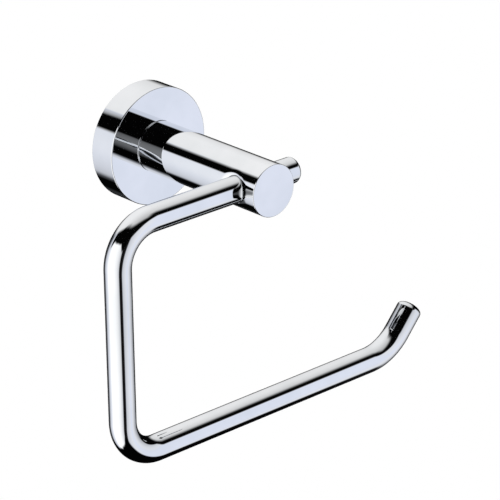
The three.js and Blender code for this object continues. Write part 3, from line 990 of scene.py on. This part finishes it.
def chrome_plate():
    material, tree, shader, place = new_material("chrome_plate_mirror_polished")
    patches = {"Vector": place, "Scale": per(HAZE), "Detail": 3.0, "Roughness": 0.6}
    haze = add(tree, "ShaderNodeTexNoise", {}, patches)
    colour = add(tree, "ShaderNodeValToRGB", {}, {"Fac": haze.outputs["Fac"]})
    colour.color_ramp.elements[0].position, colour.color_ramp.elements[1].position = 0.35, 0.65
    colour.color_ramp.elements[0].color = linear("#e2e4e6")
    colour.color_ramp.elements[1].color = linear("#eaebed")
    tree.links.new(colour.outputs["Color"], shader.inputs["Base Color"])

    stretch = (per(HAIRLINE), per(HAIRLINE), per(HAIRLINE_LENGTH))
    slanted = {"Vector": place, "Rotation": WIPE_ANGLES, "Scale": stretch}
    drawn_out = add(tree, "ShaderNodeMapping", {}, slanted)
    fine = {"Vector": drawn_out.outputs[0], "Scale": 1.0, "Detail": 2.0}
    lines = add(tree, "ShaderNodeTexNoise", {}, fine).outputs["Fac"]
    wiped = add(tree, "ShaderNodeMapRange", {}, {0: lines, 1: 0.56, 2: 0.72, 3: 0.0, 4: SCRATCHED})
    mist = {0: haze.outputs["Fac"], 1: 0.4, 2: 0.75, 3: CLEAR, 4: HAZED}
    misted = add(tree, "ShaderNodeMapRange", {}, mist)
    rough = add(tree, "ShaderNodeMath", {"operation": "ADD"}, {0: wiped.outputs[0], 1: misted.outputs[0]})
    tree.links.new(rough.outputs[0], shader.inputs["Roughness"])
    bump = add(tree, "ShaderNodeBump", {}, {"Strength": 0.02, "Distance": 0.002 * MM, "Height": lines})
    tree.links.new(bump.outputs["Normal"], shader.inputs["Normal"])
    return material

# %% [markdown]
# Die-cast zinc comes out of a polished steel mould and is then tumbled with small stones. It is a warm
# middle grey, with a soft sheen in place of a shine, a fine pebbled grain, and cloudy patches where the
# metal met and froze. Corners have been rubbed brighter by the tumbling.

# %% Zinc, die cast and tumbled
GRAIN, CLOUD = 0.45 * MM, 7 * MM
RUBBED = 0.9 * MM  # how far in from the rim the tumbling has brightened it


def cast_zinc():
    material, tree, shader, place = new_material("zinc_die_cast_tumbled")
    clouds = {"Vector": place, "Scale": per(CLOUD), "Detail": 4.0, "Distortion": 0.6}
    cloud = add(tree, "ShaderNodeTexNoise", {}, clouds)
    grain = add(tree, "ShaderNodeTexNoise", {}, {"Vector": place, "Scale": per(GRAIN), "Detail": 2.0})
    colour = add(tree, "ShaderNodeValToRGB", {}, {"Fac": cloud.outputs["Fac"]})
    colour.color_ramp.elements[0].position, colour.color_ramp.elements[1].position = 0.3, 0.7
    colour.color_ramp.elements[0].color = linear("#a3a4a1")
    colour.color_ramp.elements[1].color = linear("#bdbebb")
    flat = add(tree, "ShaderNodeVectorMath", {"operation": "MULTIPLY"}, {0: place, 1: (1, 0, 1)})
    reach = add(tree, "ShaderNodeVectorMath", {"operation": "LENGTH"}, {0: flat.outputs[0]}).outputs["Value"]
    rim = {0: reach, 1: BRACKET_RADIUS - RUBBED, 2: BRACKET_RADIUS, 3: 0.0, 4: 0.7}
    rubbed = add(tree, "ShaderNodeMapRange", {}, rim).outputs[0]
    shades = {0: rubbed, 6: colour.outputs["Color"], 7: linear("#d6d7d6")}
    worn = add(tree, "ShaderNodeMix", {"data_type": "RGBA"}, shades)
    tree.links.new(worn.outputs[2], shader.inputs["Base Color"])
    sheen = add(tree, "ShaderNodeMapRange", {}, {0: cloud.outputs["Fac"], 1: 0.3, 2: 0.7, 3: 0.5, 4: 0.34})
    tree.links.new(sheen.outputs[0], shader.inputs["Roughness"])
    shader.inputs["Metallic"].default_value = 0.6
    pebbles = {"Strength": 0.35, "Distance": 0.03 * MM, "Height": grain.outputs["Fac"]}
    bump = add(tree, "ShaderNodeBump", {}, pebbles)
    tree.links.new(bump.outputs["Normal"], shader.inputs["Normal"])
    return material

# %% [markdown]
# Screws and washers are steel with a bright zinc plate and a clear blue passivation over it. That gives a
# cold grey with a hint of blue or straw that changes from place to place, duller than chrome, and with the
# fine turning and drawing marks of the steel still there underneath.

# %% Steel, bright zinc plated
TINT_PATCH = 4 * MM
TURNING, TURNING_LENGTH = 0.12 * MM, 2 * MM


def plated_steel():
    material, tree, shader, place = new_material("steel_bright_zinc_plated")
    patch = add(tree, "ShaderNodeTexNoise", {}, {"Vector": place, "Scale": per(TINT_PATCH), "Detail": 3.0})
    colour = add(tree, "ShaderNodeValToRGB", {}, {"Fac": patch.outputs["Fac"]})
    ramp = colour.color_ramp.elements
    ramp[0].position, ramp[1].position = 0.3, 0.72
    ramp[0].color, ramp[1].color = linear("#a9b0ba"), linear("#c2c0b4")
    ramp.new(0.5).color = linear("#b6b9bc")
    tree.links.new(colour.outputs["Color"], shader.inputs["Base Color"])
    stretch = (per(TURNING_LENGTH), per(TURNING), per(TURNING))
    drawn_out = add(tree, "ShaderNodeMapping", {}, {"Vector": place, "Scale": stretch})
    fine = {"Vector": drawn_out.outputs[0], "Scale": 1.0, "Detail": 2.0}
    marks = add(tree, "ShaderNodeTexNoise", {}, fine).outputs["Fac"]
    dull = add(tree, "ShaderNodeMapRange", {}, {0: marks, 1: 0.3, 2: 0.7, 3: 0.22, 4: 0.36})
    tree.links.new(dull.outputs[0], shader.inputs["Roughness"])
    shader.inputs["Metallic"].default_value = 0.85
    bump = add(tree, "ShaderNodeBump", {}, {"Strength": 0.2, "Distance": 0.01 * MM, "Height": marks})
    tree.links.new(bump.outputs["Normal"], shader.inputs["Normal"])
    return material

# %% [markdown]
# Each piece gets the finish of its slot, and so does the CAD twin that it hides, so that the model wears
# the same metals whichever of the two is shown.

# %% Give every piece its finish
FINISHES = {"chrome": chrome_plate(), "zinc": cast_zinc(), "steel": plated_steel()}
for piece, node, _, slot in PIECES:
    for obj in (piece, frame["nodes"][node]):
        obj.data.materials.clear()
        obj.data.materials.append(FINISHES[slot])
print("finishes:", [m.name for m in FINISHES.values()])

# %% [markdown]
# Chrome has no look of its own: it shows the studio. A product studio is a ring of white panels with black
# gaps left between them on purpose, because the black lines are what draw the shape of the metal. Lamps and
# cards could be built as objects, but their size in the reflection would then depend on where they stand.
# Here the studio is drawn as a sky: for each compass direction, three curves say where the lower row of
# panels starts and stops and where the ceiling starts, as heights above the horizon. Two more say how
# bright and how cool the panels' light is. The last one dims the panels for light that has already been
# mirrored once: the mirror image of the post in the flange is then as dark as it is where one piece of
# metal shades the other.

# %% The studio's skyline
# Each point is (compass degrees, height in degrees). 0 is the room in front of the holder, 90 its right side,
# -90 its left side, and 180 the wall behind it.
PANEL_FOOT = [
    (-180, -36), (-165, -43), (-150, -59), (-110, -67), (-65, -61), (-45, -54),
    (-30, -38), (5, -44), (30, -45), (60, -44), (100, -49), (180, -38),
]
PANEL_HEAD = [
    (-180, 12), (-161, 24), (-155, 40), (-150, 32), (-142, 12), (-125, 31), (-85, 35), (-55, 31),
    (-35, 12), (-5, 19), (12, 18), (55, 29), (66, 28), (75, 2), (90, -19), (180, -10),
]
CEILING_FOOT = [
    (-180, 13), (-162, 21), (-152, 37), (-142, 47), (-110, 71), (-65, 73), (-25, 62), (5, 54),
    (30, 45), (48, 51), (75, 45), (100, 32), (120, 14), (135, 3), (155, 3), (180, 13),
]
PANEL_LIGHT = [
    (-180, 0.04), (-164, 0.08), (-157, 0.55), (-150, 0.66), (-140, 0.78), (-118, 1.1), (-70, 1.0),
    (-50, 0.86), (-33, 0.6), (-29, 0), (-8, 0.01), (-3, 0.6), (15, 0.73), (40, 0.84), (58, 0.74),
    (76, 0.5), (96, 0.12), (104, 0.02), (150, 0.02), (180, 0.04),
]
PANEL_COOLNESS = [
    (-180, 0.6), (-140, 0.6), (-122, 0), (-60, 0), (-40, 0.2), (-3, 0.5),
    (28, 0.4), (36, 0.9), (44, 0.9), (50, 0.4), (180, 0.5),
]
SECOND_LIGHT = [(-180, 1), (-64, 1), (-50, 0.45), (-43, 0.22), (-36, 0), (-20, 0), (-3, 1), (180, 1)]
FULL_LIGHT = 1.4  # the top of the brightness curve
EDGE, CEILING_EDGE = 3.0, 8.6  # softness of a panel's edge, in degrees
GLOW_SIDE = (0.12, 0.68, 0.72)  # the ceiling is one big frosted sheet, lit from up here on the wall's side
GLOW_DIM, GLOW_BRIGHT = 0.2, 0.82
DARKEST = 0.001  # no gap in a real studio is quite black
CHROME_SHARE = 0.80  # how much light the chrome gives back
lowest, highest = min(v for _, v in PANEL_FOOT), max(v for _, v in PANEL_HEAD)
print("the panels reach from", lowest, "to", highest, "degrees above the horizon")

# %% Read a curve, and draw a soft edge
def by_compass(tree, compass, points, low, high):
    """The value of one of the curves at a compass direction; low and high are the ends of its scale."""
    share = add(tree, "ShaderNodeMapRange", {}, {0: compass, 1: -180, 2: 180, 3: 0, 4: 1})
    curve = add(tree, "ShaderNodeFloatCurve", {}, {"Value": share.outputs[0]})
    line = curve.mapping.curves[0]
    spots = [((c + 180) / 360, (v - low) / (high - low)) for c, v in points]
    for x, y in spots[1:-1]:
        line.points.new(x, y)
    line.points[0].location, line.points[-1].location = spots[0], spots[-1]
    for point in line.points:
        point.handle_type = "VECTOR"
    curve.mapping.update()
    return add(tree, "ShaderNodeMapRange", {}, {0: curve.outputs[0], 1: 0, 2: 1, 3: low, 4: high}).outputs[0]


def above(tree, height, foot, edge):
    """1 above a height and 0 below it, with a soft step between."""
    low = add(tree, "ShaderNodeMath", {"operation": "SUBTRACT"}, {0: foot, 1: edge})
    high = add(tree, "ShaderNodeMath", {"operation": "ADD"}, {0: foot, 1: edge})
    smooth, ends = {"interpolation_type": "SMOOTHSTEP"}, {0: height, 1: low.outputs[0], 2: high.outputs[0]}
    return add(tree, "ShaderNodeMapRange", smooth, ends).outputs[0]


# %% [markdown]
# The sky's node tree first turns each direction into a compass direction and a height. The panels are what
# lies above their foot and under their head, and the ceiling is what lies above its own foot. Only mirrored
# light sees them: everything else, and the empty background, sees a plain white sky, as on a light table.

# %% Draw the sky
def studio():
    world = bpy.data.worlds.new("studio")
    bpy.context.scene.world = world
    world.use_nodes = True
    tree = world.node_tree
    tree.nodes.clear()
    way = add(tree, "ShaderNodeTexCoord").outputs["Generated"]
    part = add(tree, "ShaderNodeSeparateXYZ", {}, {0: way})
    flipped = add(tree, "ShaderNodeMath", {"operation": "MULTIPLY"}, {0: part.outputs["Y"], 1: -1.0})
    sides = {0: part.outputs["X"], 1: flipped.outputs[0]}
    around = add(tree, "ShaderNodeMath", {"operation": "ARCTAN2"}, sides)
    compass = add(tree, "ShaderNodeMath", {"operation": "DEGREES"}, {0: around.outputs[0]}).outputs[0]
    rise = add(tree, "ShaderNodeMath", {"operation": "ARCSINE"}, {0: part.outputs["Z"]})
    height = add(tree, "ShaderNodeMath", {"operation": "DEGREES"}, {0: rise.outputs[0]}).outputs[0]

    foot = above(tree, height, by_compass(tree, compass, PANEL_FOOT, -90, 90), EDGE)
    head = above(tree, height, by_compass(tree, compass, PANEL_HEAD, -90, 90), EDGE)
    under_head = add(tree, "ShaderNodeMath", {"operation": "SUBTRACT"}, {0: 1.0, 1: head}).outputs[0]
    light = by_compass(tree, compass, PANEL_LIGHT, 0, FULL_LIGHT)
    path = add(tree, "ShaderNodeLightPath")
    bounces = {0: path.outputs["Glossy Depth"], 1: 1.5}
    twice = add(tree, "ShaderNodeMath", {"operation": "GREATER_THAN"}, bounces)
    second = by_compass(tree, compass, SECOND_LIGHT, 0, 1)
    dimmed = add(tree, "ShaderNodeMix", {}, {0: twice.outputs[0], 2: 1.0, 3: second})
    panels = foot
    for share in (under_head, light, dimmed.outputs[0]):
        panels = add(tree, "ShaderNodeMath", {"operation": "MULTIPLY"}, {0: panels, 1: share}).outputs[0]

    up_wall = add(tree, "ShaderNodeVectorMath", {"operation": "DOT_PRODUCT"}, {0: way, 1: GLOW_SIDE})
    across = {0: up_wall.outputs["Value"], 1: -0.2, 2: 0.95, 3: GLOW_DIM, 4: GLOW_BRIGHT}
    glow = add(tree, "ShaderNodeMapRange", {}, across).outputs[0]
    overhead = above(tree, height, by_compass(tree, compass, CEILING_FOOT, -90, 90), CEILING_EDGE)
    ceiling = add(tree, "ShaderNodeMath", {"operation": "MULTIPLY"}, {0: overhead, 1: glow}).outputs[0]

    sky = add(tree, "ShaderNodeMath", {"operation": "MAXIMUM"}, {0: panels, 1: ceiling})
    lit = add(tree, "ShaderNodeMath", {"operation": "ADD"}, {0: sky.outputs[0], 1: DARKEST})
    scaled = add(tree, "ShaderNodeMath", {"operation": "DIVIDE"}, {0: lit.outputs[0], 1: CHROME_SHARE})
    coolness = by_compass(tree, compass, PANEL_COOLNESS, 0, 1)
    cool = add(tree, "ShaderNodeMath", {"operation": "MULTIPLY"}, {0: coolness, 1: under_head}).outputs[0]
    lights = {0: cool, 6: linear("#ffffff"), 7: linear("#e9efff")}
    tint = add(tree, "ShaderNodeMix", {"data_type": "RGBA"}, lights).outputs[2]
    mirrored = add(tree, "ShaderNodeBackground", {}, {"Color": tint, "Strength": scaled.outputs[0]})
    plain = add(tree, "ShaderNodeBackground", {}, {"Color": linear("#ffffff"), "Strength": 1.0})
    seen = {0: path.outputs["Is Glossy Ray"], 1: plain.outputs[0], 2: mirrored.outputs[0]}
    mixed = add(tree, "ShaderNodeMixShader", {}, seen)
    add(tree, "ShaderNodeOutputWorld", {}, {"Surface": mixed.outputs[0]})
    return tree


print("the sky has", len(studio().nodes), "nodes")
bpy.context.scene.view_settings.view_transform = "Standard"

# %% [markdown]
# The holder hangs on a wall, so nothing stands on the floor. The floor is a wide sheet of white board well
# below it, bright enough to vanish into the backdrop. It stays out of the reflections, which the studio's
# sky gives.

# %% Floor
FLOOR_DROP = 1.4
FLOOR_SIZE = 20
half = FLOOR_SIZE / 2
floor_z = cad_low.z - FLOOR_DROP
floor_corners = [(x * half, y * half, floor_z) for x, y in ((-1, -1), (1, -1), (1, 1), (-1, 1))]
floor = add_object("floor", floor_corners, [(0, 1, 2, 3)])
board = bpy.data.materials.new("white_board")
board.use_nodes = True
paint = board.node_tree.nodes["Principled BSDF"].inputs
paint["Base Color"].default_value = linear("#ffffff")
paint["Roughness"].default_value = 1
paint["Specular IOR Level"].default_value = 0
floor.data.materials.append(board)
floor.visible_glossy = False
print("floor", round(-floor_z / MM), "mm below the post's axis")
